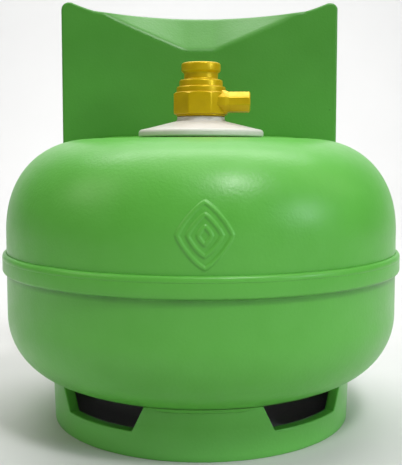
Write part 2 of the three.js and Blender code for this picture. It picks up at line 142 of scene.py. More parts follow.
def face_outwards(mesh, merge_within=None):
    """Turns all faces outwards, after merging points closer than merge_within metres if that is given."""
    bm = bmesh.new()
    bm.from_mesh(mesh)
    if merge_within:
        bmesh.ops.remove_doubles(bm, verts=bm.verts, dist=merge_within)
    bmesh.ops.recalc_face_normals(bm, faces=bm.faces)
    bm.to_mesh(mesh)
    bm.free()


def shade_smooth(mesh):
    for polygon in mesh.polygons:
        polygon.use_smooth = True


def rounded(corners, step_deg=18.0):
    """An open outline from (a, b, radius) corners, rounded at all but the first and last."""
    out = [np.array(corners[0][:2], float)]
    for i in range(1, len(corners) - 1):
        p = np.array(corners[i][:2], float)
        before = np.array(corners[i - 1][:2], float) - p
        after = np.array(corners[i + 1][:2], float) - p
        radius = corners[i][2] if len(corners[i]) > 2 else 0.0
        out += fillet(p, before, after, radius, step_deg)
    out.append(np.array(corners[-1][:2], float))
    return out


def fillet(p, before, after, radius, step_deg):
    """The points of an arc that rounds the corner p, or p itself where there is no radius."""
    la, lb = np.linalg.norm(before), np.linalg.norm(after)
    ua, ub = before / la, after / lb
    angle = math.acos(float(np.clip(ua @ ub, -1, 1)))
    if radius <= 0 or angle > math.radians(178) or angle < math.radians(2):
        return [p]
    reach = min(radius / math.tan(angle / 2), la * 0.49, lb * 0.49)
    radius = reach * math.tan(angle / 2)
    middle = (ua + ub) / np.linalg.norm(ua + ub)
    centre = p + middle * (radius / math.sin(angle / 2))
    start, end = p + ua * reach - centre, p + ub * reach - centre
    turn = math.pi - angle
    steps = max(2, math.ceil(math.degrees(turn) / step_deg))
    arc = []
    for k in range(steps + 1):
        t = k / steps
        v = (math.sin((1 - t) * turn) * start + math.sin(t * turn) * end) / math.sin(turn)
        arc.append(centre + v)
    return arc


def rounded_loop(corners, step_deg=18.0):
    """A closed outline from (a, b, radius) corners."""
    n = len(corners)
    out = []
    for i in range(n):
        p = np.array(corners[i][:2], float)
        before = np.array(corners[i - 1][:2], float) - p
        after = np.array(corners[(i + 1) % n][:2], float) - p
        radius = corners[i][2] if len(corners[i]) > 2 else 0.0
        out += fillet(p, before, after, radius, step_deg)
    return out


def turned(outline, closed, segments, place=None):
    """Points and faces of a turned body. A closed outline makes a ring, an open one ends on the axis."""
    place = place or (lambda p: p)
    points, rows = [], []
    for r, z in outline:
        if r < 1e-6:
            rows.append([len(points)] * segments)
            points.append(place((0.0, 0.0, z)))
            continue
        rows.append(list(range(len(points), len(points) + segments)))
        for k in range(segments):
            a = 2 * math.pi * k / segments
            points.append(place((r * math.cos(a), r * math.sin(a), z)))
    faces = []
    count = len(rows)
    for i in range(count if closed else count - 1):
        low, high = rows[i], rows[(i + 1) % count]
        for k in range(segments):
            m = (k + 1) % segments
            quad = [low[k], low[m], high[m], high[k]]
            face = [v for j, v in enumerate(quad) if v not in quad[:j]]
            if len(face) > 2:
                faces.append(face)
    return points, faces


def tube_through(rings, wrap=False):
    """Points and faces of a closed body through equal sections, with capped ends unless it wraps."""
    n = len(rings[0])
    points = [tuple(p) for ring in rings for p in ring]
    count = len(rings)
    faces = []
    for i in range(count if wrap else count - 1):
        for j in range(n):
            a, b = i * n + j, i * n + (j + 1) % n
            c, d = ((i + 1) % count) * n + (j + 1) % n, ((i + 1) % count) * n + j
            faces.append([a, b, c, d])
    if not wrap:
        faces.append(list(range(n)))
        faces.append([(count - 1) * n + j for j in range(n)])
    return points, faces


def sheet_body(grid, thickness):
    """A sheet of that thickness about a grid of middle points, with half round free edges."""
    edge_steps = 4
    grid = np.array(grid, float)
    columns, rows = grid.shape[:2]
    normal = np.cross(np.gradient(grid, axis=0), np.gradient(grid, axis=1))
    normal /= np.linalg.norm(normal, axis=2)[..., None]
    half = thickness / 2
    points = [tuple(p) for p in (grid - normal * half).reshape(-1, 3)]
    points += [tuple(p) for p in (grid + normal * half).reshape(-1, 3)]
    back = columns * rows
    faces = []
    for i in range(columns - 1):
        for j in range(rows - 1):
            a, b, c, d = i * rows + j, (i + 1) * rows + j, (i + 1) * rows + j + 1, i * rows + j + 1
            faces.append([a, b, c, d])
            faces.append([back + d, back + c, back + b, back + a])
    border = [(i, 0) for i in range(columns)]
    border += [(columns - 1, j) for j in range(1, rows)]
    border += [(i, rows - 1) for i in range(columns - 2, -1, -1)]
    border += [(0, j) for j in range(rows - 2, 0, -1)]
    rings = []
    for at, (i, j) in enumerate(border):
        p, n = grid[i, j], normal[i, j]
        ahead, behind = border[(at + 1) % len(border)], border[at - 1]
        out = unit(np.cross(grid[ahead] - grid[behind], n))
        ring = [i * rows + j]
        for k in range(1, edge_steps):
            t = math.pi * k / edge_steps
            ring.append(len(points))
            points.append(tuple(p - n * half * math.cos(t) + out * half * math.sin(t)))
        ring.append(back + i * rows + j)
        rings.append(ring)
    for a, b in zip(rings, rings[1:] + rings[:1]):
        for k in range(edge_steps):
            faces.append([a[k], a[k + 1], b[k + 1], b[k]])
    return points, faces


def with_steps(line, step):
    """The points of a line and points between them, about step apart, without its last point."""
    out = []
    for a, b in zip(line, line[1:]):
        count = max(1, round(np.linalg.norm(b - a) / step))
        out += [a + (b - a) * k / count for k in range(count)]
    return out


def unit(v):
    return v / (np.linalg.norm(v) or 1.0)


def smooth_step(t):
    t = min(1.0, max(0.0, t))
    return t * t * (3 - 2 * t)


# ---- vessel outline

TOP_FLAT_R = BODY_R - TOP_KNUCKLE_R


def upper_shoulder(t):
    """A point of the upper head's shoulder as radius and height, and the direction that it faces."""
    c, s = max(0.0, math.cos(t)), math.sin(t)
    point = (TOP_FLAT_R + TOP_KNUCKLE_R * c ** TOP_SQUARE, TOP_SHOULDER_Z + TOP_KNUCKLE_Z * s ** TOP_SQUARE)
    facing = np.array((TOP_KNUCKLE_Z * c ** (2 - TOP_SQUARE), TOP_KNUCKLE_R * s ** (2 - TOP_SQUARE)))
    return np.array(point), facing / np.linalg.norm(facing)


def crown_rise(r):
    """Height of the crown, inside the shoulder, at radius r."""
    return TOP_SHOULDER_Z + TOP_KNUCKLE_Z + (TOP_FLAT_R ** 2 - r ** 2) / (2 * TOP_CROWN)


def upper_outline(offset, step):
    """Points up the upper head from the wall to the edge of the hole, about step apart."""
    end_r = HOLE_R + 0.5
    samples = 1500
    line = []
    for i in range(samples + 1):
        point, facing = upper_shoulder(i / samples * math.pi / 2)
        line.append(point + facing * offset)
    line = spaced(np.array(line), step)
    count = max(2, round((TOP_FLAT_R - end_r) / (2 * step)))
    for i in range(1, count + 1):
        r = TOP_FLAT_R + (end_r - TOP_FLAT_R) * i / count
        line.append(np.array((r, crown_rise(r) + offset)))
    return line


def spaced(line, step):
    """The same line with points an even distance apart, close to step."""
    along = np.concatenate([[0], np.cumsum(np.linalg.norm(np.diff(line, axis=0), axis=1))])
    at = np.linspace(0, along[-1], max(2, round(along[-1] / step)) + 1)
    return [np.array([np.interp(t, along, line[:, i]) for i in range(line.shape[1])]) for t in at]


def lower_outline(offset, step=3.0):
    """Points down the dished lower head from the wall to the axis."""
    flat = BODY_R - LOW_KNUCKLE
    sink = math.sqrt((LOW_CROWN - LOW_KNUCKLE) ** 2 - flat ** 2)
    join = math.atan2(flat, sink)
    reach = LOW_KNUCKLE + offset
    turn = math.pi / 2 - join
    steps = max(8, round(reach * turn / step))
    line = []
    for i in range(steps + 1):
        t = turn * i / steps
        line.append(np.array((flat + reach * math.cos(t), LOW_SHOULDER_Z - reach * math.sin(t))))
    big = LOW_CROWN + offset
    steps = max(6, round(big * join / (2 * step)))
    for i in range(1, steps + 1):
        t = join - join * i / steps
        line.append(np.array((big * math.sin(t), LOW_SHOULDER_Z + sink - big * math.cos(t))))
    return line


def crown_height(x, y, offset=0.0):
    """Height of the outside of the upper head at x, y."""
    r = math.hypot(x, y)
    if r < TOP_FLAT_R:
        return crown_rise(r) + offset
    t = math.acos(((r - TOP_FLAT_R) / TOP_KNUCKLE_R) ** (1 / TOP_SQUARE))
    point, facing = upper_shoulder(t)
    return float(point[1] + offset / facing[1])


def foot_top(r):
    """Height of the underside of the lower head at radius r, less a clearance."""
    flat = BODY_R - LOW_KNUCKLE
    return LOW_SHOULDER_Z - math.sqrt((LOW_KNUCKLE + FOOT_CLEAR) ** 2 - (r - flat) ** 2)


# ---- materials

class Nodes:
    """Short calls for building one material's node tree."""

    def __init__(self, name):
        self.material = bpy.data.materials.new(name)
        self.material.use_nodes = True
        self.tree = self.material.node_tree
        self.shader = self.tree.nodes["Principled BSDF"]
        self.place = self.add("ShaderNodeTexCoord").outputs["Object"]

    def add(self, kind, **values):
        node = self.tree.nodes.new(kind)
        for key, value in values.items():
            setattr(node, key, value)
        return node

    def link(self, source, target):
        self.tree.links.new(source, target)

    def noise(self, scale, detail, rough):
        node = self.add("ShaderNodeTexNoise")
        node.inputs["Scale"].default_value = scale
        node.inputs["Detail"].default_value = detail
        node.inputs["Roughness"].default_value = rough
        self.link(self.place, node.inputs["Vector"])
        return node.outputs["Fac"]

    def ramp(self, source, low, high, to_low=0.0, to_high=1.0):
        node = self.add("ShaderNodeMapRange")
        for key, value in (("From Min", low), ("From Max", high), ("To Min", to_low), ("To Max", to_high)):
            node.inputs[key].default_value = value
        self.link(source, node.inputs["Value"])
        return node.outputs["Result"]

    def fade(self, length, span, to_low=0.0, to_high=1.0):
        """A ramp over a span of lengths in millimetres."""
        return self.ramp(length, span[0] * MM, span[1] * MM, to_low, to_high)

    def math(self, operation, a, b=0.0):
        node = self.add("ShaderNodeMath", operation=operation)
        for socket, value in zip(node.inputs, (a, b)):
            if isinstance(value, (int, float)):
                socket.default_value = value
            else:
                self.link(value, socket)
        return node.outputs[0]

    def mix(self, factor, a, b):
        node = self.add("ShaderNodeMix", data_type="RGBA")
        self.link(factor, node.inputs["Factor"])
        for name, value in (("A", a), ("B", b)):
            socket = next(s for s in node.inputs if s.name == name and s.type == "RGBA")
            if isinstance(value, tuple):
                socket.default_value = (*value, 1.0)
            else:
                self.link(value, socket)
        return next(s for s in node.outputs if s.type == "RGBA")

    def bump(self, height, distance, strength, under=None):
        node = self.add("ShaderNodeBump")
        node.inputs["Strength"].default_value = strength
        node.inputs["Distance"].default_value = distance
        self.link(height, node.inputs["Height"])
        if under is not None:
            self.link(under, node.inputs["Normal"])
        return node.outputs["Normal"]

    def finish(self, color, roughness, normal, metallic=0.0, coat=0.0, coat_rough=0.1, gloss=0.5):
        s = self.shader.inputs
        self.link(color, s["Base Color"])
        self.link(roughness, s["Roughness"])
        self.link(normal, s["Normal"])
        s["Metallic"].default_value = metallic
        s["Coat Weight"].default_value = coat
        s["Coat Roughness"].default_value = coat_rough
        s["Specular IOR Level"].default_value = gloss
        return self.material


PAINT_TONES = ((0.098, 0.425, 0.044), (0.110, 0.455, 0.052), (0.138, 0.490, 0.080))
SPECK_TONE = (0.010, 0.040, 0.012)
# Painted shade under the vessel's rim.
RIM_SHADE_TONE = (0.030, 0.150, 0.020)
# Painted light from the floor, low on the foot ring.
FLOOR_LIGHT_TONE = (0.190, 0.640, 0.120)
# Painted shade: near black inside the foot ring and under the lower head.
INSIDE_SHADE_TONE = (0.007, 0.008, 0.013)
GUARD_SHADE_FACTOR = 0.62  # the guard's tones over the vessel's, a painted shade
GUARD_FOOT_LIGHT_Z = (180.0, 250.0)  # where the painted light on the guard's foot, bringing it nearer the vessel's tone, fades out
FLOOR_LIGHT_FADE_Z = (3.0, 20.0)  # where the painted light near the floor, a paler tone, fades out
# The painted shade under the rim fades in between the first two heights and out between the others.
RIM_SHADE_Z = (LAP_LOW_Z - 5.0, LAP_LOW_Z - 2.0, LAP_LOW_Z - 1.4, LAP_LOW_Z - 0.2)
INSIDE_SHADE_R = (97.9, 98.5)  # the painted shade inside the foot ring and under the lower head ends between these radii
INSIDE_SHADE_Z = (33.5, 34.5)  # and between these heights


def green_paint(name, guard=False, dark_inside_shade=False):
    """Sprayed enamel: soft orange peel, drifts of tone, a few dark specks, painted shade under the vessel's
    rim and painted light near the floor; the guard's copy is darker with painted shade and a lighter foot,
    and one copy has painted shade inside the foot ring.
    """
    n = Nodes(name)
    # Painted shade: the guard gets a darker copy of the same paint.
    depth = GUARD_SHADE_FACTOR if guard else 1.0
    plain, light, pale = (tuple(depth * c for c in tone) for tone in PAINT_TONES)
    color = n.mix(n.ramp(n.noise(14, 3, 0.55), 0.35, 0.65), plain, light)
    color = n.mix(n.ramp(n.noise(55, 3, 0.6), 0.35, 0.75, 0.0, 0.22), color, pale)
    color = n.mix(paint_specks(n), color, SPECK_TONE)
    split = n.add("ShaderNodeSeparateXYZ")
    n.link(n.place, split.inputs["Vector"])
    across, along, height = split.outputs
    if guard:
        # Painted light: the guard's foot is lightened towards the vessel's tone.
        color = n.mix(n.fade(height, GUARD_FOOT_LIGHT_Z, 0.4, 0.0), color, PAINT_TONES[1])
    else:
        patchy = n.ramp(n.noise(30, 4, 0.6), 0.25, 0.75, 0.25, 0.7)
        # Painted shade: a patchy darker band under the vessel's rim.
        under_rim = n.math("MULTIPLY", n.fade(height, RIM_SHADE_Z[:2]), n.fade(height, RIM_SHADE_Z[2:], 1.0, 0.0))
        color = n.mix(n.math("MULTIPLY", under_rim, patchy), color, RIM_SHADE_TONE)
        # Painted light: a paler tone low down, standing in for light from the floor.
        color = n.mix(n.fade(height, FLOOR_LIGHT_FADE_Z, 0.7, 0.0), color, FLOOR_LIGHT_TONE)
    # Painted shade: near black inside the foot ring and under the lower head.
    if dark_inside_shade:
        square = n.math("ADD", n.math("MULTIPLY", across, across), n.math("MULTIPLY", along, along))
        inside = n.fade(n.math("SQRT", square), INSIDE_SHADE_R, 1.0, 0.0)
        below = n.fade(height, INSIDE_SHADE_Z, 1.0, 0.0)
        color = n.mix(n.math("MULTIPLY", inside, below), color, INSIDE_SHADE_TONE)
    rough = n.ramp(n.noise(90, 4, 0.6), 0.3, 0.7, 0.35, 0.43)
    peel = n.bump(n.noise(560, 2, 0.5), 0.0002, 0.6)
    normal = n.bump(n.noise(45, 2, 0.5), 0.0006, 0.25, peel)
    return n.finish(color, rough, normal, coat=0.15, coat_rough=0.3, gloss=0.3 if guard else 0.42)


def paint_specks(n):
    """How much dark speck shows at a point: small dots in a few of the cells of a cell pattern."""
    cells = n.add("ShaderNodeTexVoronoi")
    cells.inputs["Scale"].default_value = 62
    n.link(n.place, cells.inputs["Vector"])
    near = n.ramp(cells.outputs["Distance"], 0.022, 0.042, 1.0, 0.0)
    chosen = n.add("ShaderNodeSeparateColor")
    n.link(cells.outputs["Color"], chosen.inputs["Color"])
    rare = n.math("GREATER_THAN", chosen.outputs[0], 0.86)
    return n.math("MULTIPLY", near, n.math("MULTIPLY", rare, 0.6))


def brass_lacquer():
    """Forged brass under yellow lacquer: fine blast texture and slight drifts of tone."""
    n = Nodes("yellow_brass")
    color = n.mix(n.ramp(n.noise(120, 4, 0.6), 0.35, 0.7), (0.60, 0.395, 0.0), (0.66, 0.445, 0.0))
    rough = n.ramp(n.noise(300, 3, 0.6), 0.3, 0.7, 0.30, 0.42)
    normal = n.bump(n.noise(160, 2, 0.5), 0.00008, 0.2)
    return n.finish(color, rough, normal, metallic=0.35, gloss=0.3)


def white_moulding():
    """Slightly warm moulded plastic with faint handling marks."""
    n = Nodes("white_moulding")
    color = n.mix(n.ramp(n.noise(70, 4, 0.6), 0.3, 0.75), (0.70, 0.68, 0.64), (0.62, 0.60, 0.55))
    rough = n.ramp(n.noise(200, 3, 0.6), 0.3, 0.7, 0.38, 0.5)
    normal = n.bump(n.noise(500, 2, 0.5), 0.00008, 0.3)
    return n.finish(color, rough, normal)


def plain_metal(name, light, dark, rough_low, rough_high, grain):
    """Bare metal with turning or drawing marks."""
    n = Nodes(name)
    color = n.mix(n.ramp(n.noise(grain, 3, 0.6), 0.3, 0.7), light, dark)
    rough = n.ramp(n.noise(grain * 2, 3, 0.6), 0.3, 0.7, rough_low, rough_high)
    normal = n.bump(n.noise(grain * 3, 2, 0.5), 0.00006, 0.4)
    return n.finish(color, rough, normal, metallic=1.0)


def black_rubber():
    """Moulded nitrile rubber with a dusty bloom."""
    n = Nodes("black_rubber")
    color = n.mix(n.ramp(n.noise(300, 4, 0.7), 0.4, 0.7), (0.012, 0.012, 0.013), (0.035, 0.035, 0.035))
    rough = n.ramp(n.noise(400, 3, 0.6), 0.3, 0.7, 0.6, 0.75)
    normal = n.bump(n.noise(1200, 2, 0.5), 0.00005, 0.4)
    return n.finish(color, rough, normal)


GREEN = green_paint("green_enamel")
# Painted shade inside the foot ring and under the lower head.
PAINT_WITH_INNER_SHADE = green_paint("green_enamel_with_inner_shade", dark_inside_shade=True)
# Painted shade: the guard's darker copy of the paint.
SHADED_GUARD_PAINT = green_paint("green_enamel_guard_shaded", guard=True)
BRASS = brass_lacquer()
WHITE = white_moulding()
STEEL = plain_metal("bare_steel", (0.42, 0.42, 0.41), (0.27, 0.26, 0.25), 0.35, 0.5, 240)
PIN_STEEL = plain_metal("turned_steel", (0.62, 0.62, 0.61), (0.50, 0.50, 0.49), 0.2, 0.32, 500)
WIRE = plain_metal("spring_wire", (0.55, 0.55, 0.54), (0.40, 0.40, 0.39), 0.25, 0.38, 700)
RUBBER = black_rubber()


def painted(name, body, node, paint=GREEN):
    """A painted piece of the tank, from its points and faces."""
    points, faces = body
    return new_piece(name, points, faces, paint, "tank", [node])


# ---- vessel

MARK_Z = 133.6  # middle of the raised mark
MARK_HEIGHT = 0.75
MARK_SIZES = ((15.5, 18.4), (10.0, 12.0), (4.6, 5.8))
MARK_RIB = (2.1, 2.5)  # width of its ribs, sideways and upwards
MARK_POWER = 1.25  # 1 is a sharp diamond, more is rounder
MARK_LOW, MARK_HIGH = MARK_Z - 20.5, MARK_Z + 21.5
MARK_PATCH = 19.5  # half width of the finely meshed patch that holds it
FINE = 0.42  # mesh step on the patch


def mark_relief(x, z):
    """Height of the raised mark, three nested rounded diamonds, at x across and z up."""
    best = 0.0
    up, near = z - MARK_Z, 0.02
    for half_x, half_z in MARK_SIZES:
        a, b = half_x - MARK_RIB[0] / 2, half_z - MARK_RIB[1] / 2

        def size(u, v):
            return (abs(u / a) ** MARK_POWER + abs(v / b) ** MARK_POWER) ** (1 / MARK_POWER)

        here = size(x, up)
        if here < 1e-4 or here > 1.6:
            continue
        slope_x = size(x + near, up) - size(x - near, up)
        slope_z = size(x, up + near) - size(x, up - near)
        away = abs(here - 1.0) / max(math.hypot(slope_x, slope_z) / (2 * near), 1e-4)
        best = max(best, 1 - smooth_step((away - 0.55) / 0.9))
    return best * MARK_HEIGHT


def upper_section():
    """Section of the upper shell, outside first, and how many of its points are outside ones."""
    step_z = LAP_LOW_Z + 0.7
    outer = rounded([
        (BODY_R - WALL, LAP_LOW_Z + 2.0), (BODY_R - WALL, step_z, 0.4),
        (BODY_R, step_z, 0.4), (BODY_R, MARK_LOW),
    ])
    rise = TOP_SHOULDER_Z - MARK_LOW
    steps = round(rise / FINE)
    outer += [np.array((BODY_R, MARK_LOW + rise * i / steps)) for i in range(1, steps)]
    outer += [p for p in upper_outline(0, FINE) if p[1] <= MARK_HIGH]
    outer += [p for p in upper_outline(0, 2.4) if p[1] > MARK_HIGH + 1]
    top = outer[-1][1]
    outer += [np.array((HOLE_R, top - 0.5)), np.array((HOLE_R, top - WALL + 0.4))]
    return outer + upper_outline(-WALL, 5.0)[::-1], len(outer)


def build_upper_shell():
    """The upper shell, turned, with a finely meshed patch in front that carries the raised mark."""
    outline, outside = upper_section()
    fine = list(np.arange(-MARK_PATCH, MARK_PATCH + 0.1, 0.43))
    coarse = np.linspace(MARK_PATCH, 2 * math.pi * BODY_R - MARK_PATCH, 232)[1:-1]
    angles = [along / BODY_R for along in fine + list(coarse)]
    points = []
    for i, (r, z) in enumerate(outline):
        d = outline[(i + 1) % len(outline)] - outline[i - 1]
        facing = unit(np.array((d[1], -d[0])))
        marked = i < outside and MARK_LOW <= z <= MARK_HIGH
        for k, a in enumerate(angles):
            lift = mark_relief(r * math.sin(a), z) if marked and k < len(fine) else 0.0
            rr, zz = r + facing[0] * lift, z + facing[1] * lift
            points.append((rr * math.sin(a), -rr * math.cos(a), zz))
    faces = []
    columns = len(angles)
    for i in range(len(outline)):
        low, high = i * columns, (i + 1) % len(outline) * columns
        for k in range(columns):
            m = (k + 1) % columns
            faces.append([low + k, low + m, high + m, high + k])
    painted("vessel_upper", (points, faces), "upper_shell")


def build_lower_shell():
    """The lower shell: a dished head, a wall and the joggled lap that takes the upper shell."""
    outline = lower_outline(0)[::-1]
    outline += rounded([
        (BODY_R, LOW_SHOULDER_Z + 0.5),
        (BODY_R, LAP_LOW_Z - 1.6, 1.0),
        (LAP_R, LAP_LOW_Z - 0.8, 2.2),
        (LAP_R, LAP_TOP_Z, 0.4),
        (BODY_R + LAP_GAP, LAP_TOP_Z, 0.3),
        (BODY_R + LAP_GAP, LAP_LOW_Z, 2.0),
        (BODY_R - WALL, LAP_LOW_Z - 3.4, 2.0),
        (BODY_R - WALL, LOW_SHOULDER_Z + 0.5),
    ])
    outline += lower_outline(-WALL, 5.0)
    painted("vessel_lower", turned(outline, False, 256), "lower_shell", PAINT_WITH_INNER_SHADE)


def build_girth_weld():
    """One lap of weld bead, smoothed by the paint but still faintly rippled."""
    foot = LAP_TOP_Z - 0.8
    rise = foot + 1.0
    wide = LAP_R + 0.06 - BODY_R
    rings = []
    count = 720
    for i in range(count):
        a = 2 * math.pi * i / count
        ripple = noise.noise(Vector((math.cos(a) * 26, math.sin(a) * 26, 0.5)))
        slow = noise.noise(Vector((math.cos(a) * 4, math.sin(a) * 4, 7.0)))
        top = LAP_TOP_Z + BEAD_RISE + 0.08 * ripple + 0.2 * slow
        section = [(BODY_R + 0.1, foot), (LAP_R - 0.6, foot)]
        section += [(LAP_R + 0.03, foot + 0.1), (LAP_R + 0.03, foot + 0.7)]
        for k in range(9):
            t = k / 8 * math.pi / 2
            section.append((BODY_R - 0.05 + wide * math.cos(t) ** 0.75, rise + (top - rise) * math.sin(t)))
        rings.append([(r * math.cos(a), r * math.sin(a), z) for r, z in section])
    painted("girth_bead", tube_through(rings, wrap=True), "girth_weld")


# ---- foot ring

FOOT_ROUND_R = FOOT_BASE_R - 1.0  # radius on which lengths along the ring are measured
FOOT_TOP = foot_top(FOOT_R)
FOOT_STEP = 1.4  # mesh step along the ring's edges


def outside_radius(z):
    return FOOT_BASE_R + (FOOT_R - FOOT_BASE_R) * min(1.0, z / FOOT_FULL_Z)


def on_ring(along, z, r):
    """The point at that length along the ring, height and radius."""
    a = along / FOOT_ROUND_R
    return (r * math.sin(a), -r * math.cos(a), z)


def notch_corners(centre, grow, top):
    """The four corners of a notch, unrolled, with its edge moved outwards by grow."""
    lean = (NOTCH_TOP_HALF - NOTCH_LOW_HALF) / (FOOT_FULL_Z - NOTCH_Z)
    aside = grow * math.sqrt(1 + lean * lean)
    low = NOTCH_Z - grow
    low_half = NOTCH_LOW_HALF + lean * (low - NOTCH_Z) + aside
    top_half = NOTCH_LOW_HALF + lean * (top - NOTCH_Z) + aside
    return [
        (centre - top_half, top, 0.0), (centre - low_half, low, NOTCH_R + grow),
        (centre + low_half, low, NOTCH_R + grow), (centre + top_half, top, 0.0),
    ]


def notch_centres():
    """The middles of the four notches, as lengths along the ring."""
    for az in (NOTCH_AZ, 180 - NOTCH_AZ, 180 + NOTCH_AZ, 360 - NOTCH_AZ):
        yield math.radians(az) * FOOT_ROUND_R


def build_foot_band():
    """The rolled wall of the ring, cut out for the notches just inside their turned edges."""
    lap = 2 * math.pi * FOOT_ROUND_R
    corners = [(0.0, FOOT_TOP)]
    for centre in notch_centres():
        corners += notch_corners(centre, 1.0, FOOT_TOP)
    line = rounded(corners + [(lap, FOOT_TOP)], 12.0)
    drop = FOOT_TOP - foot_top(FOOT_R - SHEET)
    rings = []
    for u, z in with_steps(line, FOOT_STEP):
        column = [(0.0, 0.45), (0.15, 0.15), (0.45, 0.0)]
        column += [(0.45 + (z - 0.7) * k / 8, 0.0) for k in range(1, 9)]
        column += [(z - 0.08, 0.08), (z, 0.3), (z - drop * 0.5, 1.5), (z - drop, SHEET - 0.3)]
        column += [(z - drop - 0.25, SHEET)]
        column += [(0.45 + (z - drop - 0.7) * k / 8, SHEET) for k in range(7, -1, -1)]
        column += [(0.15, SHEET - 0.15), (0.0, SHEET - 0.45)]
        rings.append([on_ring(u, h, outside_radius(h) - w) for h, w in column])
    band = painted("foot_skirt", tube_through(rings, wrap=True), "foot_ring", PAINT_WITH_INNER_SHADE)
    band.data.set_sharp_from_angle(angle=math.radians(35))


def build_notch_edges():
    """The turned in edges of the four notches, flush with the wall outside."""
    reach, thick, bend, tip, soft = FLANGE_REACH, FLANGE_T, 0.8, 0.5, 0.15
    section = [(bend + 0.5, 0.02), (bend, 0.0)]
    for k in range(1, 6):
        t = k / 5 * math.pi / 2
        section.append((bend * (1 - math.sin(t)), bend * (1 - math.cos(t))))
    section += [(0.0, 2.5), (0.0, 4.5), (0.0, reach - tip), (soft, reach - soft), (tip, reach)]
    section += [(thick - tip, reach), (thick - soft, reach - soft), (thick, reach - tip)]
    section += [(thick, 4.0), (thick, 2.2), (thick - 0.6, 0.9)]
    for at, centre in enumerate(notch_centres()):
        line = rounded(notch_corners(centre, 0.0, FOOT_TOP + 0.6), 9.0)
        path = np.array(with_steps(line, FOOT_STEP) + [line[-1]])
        rings = []
        for i, (u, z) in enumerate(path):
            along = unit(path[min(i + 1, len(path) - 1)] - path[max(i - 1, 0)])
            away = np.array((along[1], -along[0]))
            ring = []
            for m, w in section:
                height = z + away[1] * m
                ring.append(on_ring(u + away[0] * m, height, outside_radius(height) - w))
            rings.append(ring)
        painted(f"notch_edge_{at}", tube_through(rings), "foot_ring")


# ---- weld runs

BEAD_PITCH = 2.3  # length of one ripple of a weld


def bead(node, corners, ups, outs, legs, swell, ripple_size, seed):
    """A fillet weld along a row of corner points: rippled, with tapering ends.

    The two legs go up and out from each corner point, and swell makes the face between them bulge.
    """
    leg_up, leg_out = legs
    rings = []
    count = len(corners)
    length = 0.0
    for i, (c, up, out) in enumerate(zip(corners, ups, outs)):
        if i:
            length += np.linalg.norm(corners[i] - corners[i - 1])
        waver = noise.noise(Vector((length / 7, seed, 0)))
        ripple = 0.5 * math.sin(length * 2 * math.pi / BEAD_PITCH) + waver
        ends = min(1.0, 0.2 + min(i, count - 1 - i) / 14)
        size = (1 + ripple_size * ripple) * ends
        section = [c]
        for k in range(8):
            t = k / 7
            spread = c + out * leg_out * size * (1 - t) + up * leg_up * size * t
            crown = (out + up) * swell * leg_out * size * math.sin(math.pi * t)
            section.append(spread + crown)
        rings.append(section)
    painted(node.replace("weld", "bead"), tube_through(rings), node)


def build_foot_welds():
    """Four runs between the ring and the lower head, given by side, azimuth and half length in degrees."""
    runs = (("front", 0, 17.5), ("right", 90, 27.0), ("back", 180, 17.5), ("left", 270, 27.0))
    for seed, (side, at, half) in enumerate(runs):
        corners, ups, outs = [], [], []
        steps = round(half * 5)
        for i in range(steps + 1):
            a = math.radians(at - half + 2 * half * i / steps)
            radial = np.array((math.sin(a), -math.cos(a), 0.0))
            r = FOOT_R + 0.15
            corners.append(radial * r + np.array((0, 0, foot_top(r) + 0.1)))
            ups.append(np.array((0.0, 0.0, -1.0)))
            outs.append(unit(radial + np.array((0, 0, 0.36))))
        bead(f"foot_weld_{side}", corners, ups, outs, (2.1, 2.1), -0.1, 0.03, 3.0 + seed)


def build_guard_welds():
    """A run on each side of the guard's foot, along the upper head."""
    half, steps = 92, 220
    for node, side in (("guard_weld_front", -1), ("guard_weld_back", 1)):
        corners, ups, outs = [], [], []
        for i in range(steps + 1):
            x = -half + 2 * half * i / steps
            y = GUARD_Y + side * (SHEET / 2 + 0.15)
            away_y = y + side * 3
            here = np.array((x, y, crown_height(x, y) + 0.2))
            there = np.array((x, away_y, crown_height(x, away_y) + 0.2))
            corners.append(here)
            ups.append(np.array((0.0, 0.0, 1.0)))
            outs.append(unit(there - here))
        bead(node, corners, ups, outs, (3.0, 3.1), 0.12, 0.12, 11.0 + side)


# ---- guard

def guard_crease(x):
    """Height of the bend, with its two knees eased."""
    past = abs(x) - GRIP_HALF
    if past <= -GRIP_KNEE:
        return GRIP_Z
    if past < GRIP_KNEE:
        return GRIP_Z + GRIP_SLOPE * (past + GRIP_KNEE) ** 2 / (4 * GRIP_KNEE)
    return GRIP_Z + GRIP_SLOPE * past


RUN_OUT_Z = GRIP_Z + GRIP_SLOPE * (GRIP_END - GRIP_HALF)
EDGE_RUN = GUARD_HALF - GUARD_CORNER_R - GRIP_END


def guard_top(x):
    """Height of the free edge: over the grip, up to the corner and round it."""
    a = abs(x)
    corner = GUARD_CORNER_R - SHEET / 2
    start = GUARD_HALF - corner
    if a <= GRIP_END:
        return GRIP_EDGE_Z + (RUN_OUT_Z - GRIP_EDGE_Z) * (a / GRIP_END) ** 5
    if a < start:
        return RUN_OUT_Z + (GUARD_TOP_Z - RUN_OUT_Z) * min(1.0, (a - GRIP_END) / EDGE_RUN) ** 1.2
    return GUARD_TOP_Z - corner + math.sqrt(max(0.0, corner ** 2 - (a - start) ** 2))


def grip_back(a, tall):
    """How far the free edge is set back: a smooth curve that fades out where the grip gets low."""
    if a >= GRIP_END:
        return 0.0
    curve = GRIP_BACK * (1 - (a / GRIP_END) ** 2)
    most = GRIP_LEAN * tall ** 2 / (tall + GRIP_LOW)
    return (curve ** -4 + most ** -4) ** -0.25


def guard_columns(reach):
    """Places across the guard for the columns of its mesh: even ones, and closer ones towards its ends."""
    closer = [reach * math.sin(t) for t in np.linspace(-math.pi / 2, math.pi / 2, 151)]
    even = np.linspace(-reach, reach, 141)
    xs = sorted(set(round(float(v), 4) for v in closer) | set(np.round(even, 4)))
    return [x for i, x in enumerate(xs) if i == 0 or x - xs[i - 1] > 0.12]


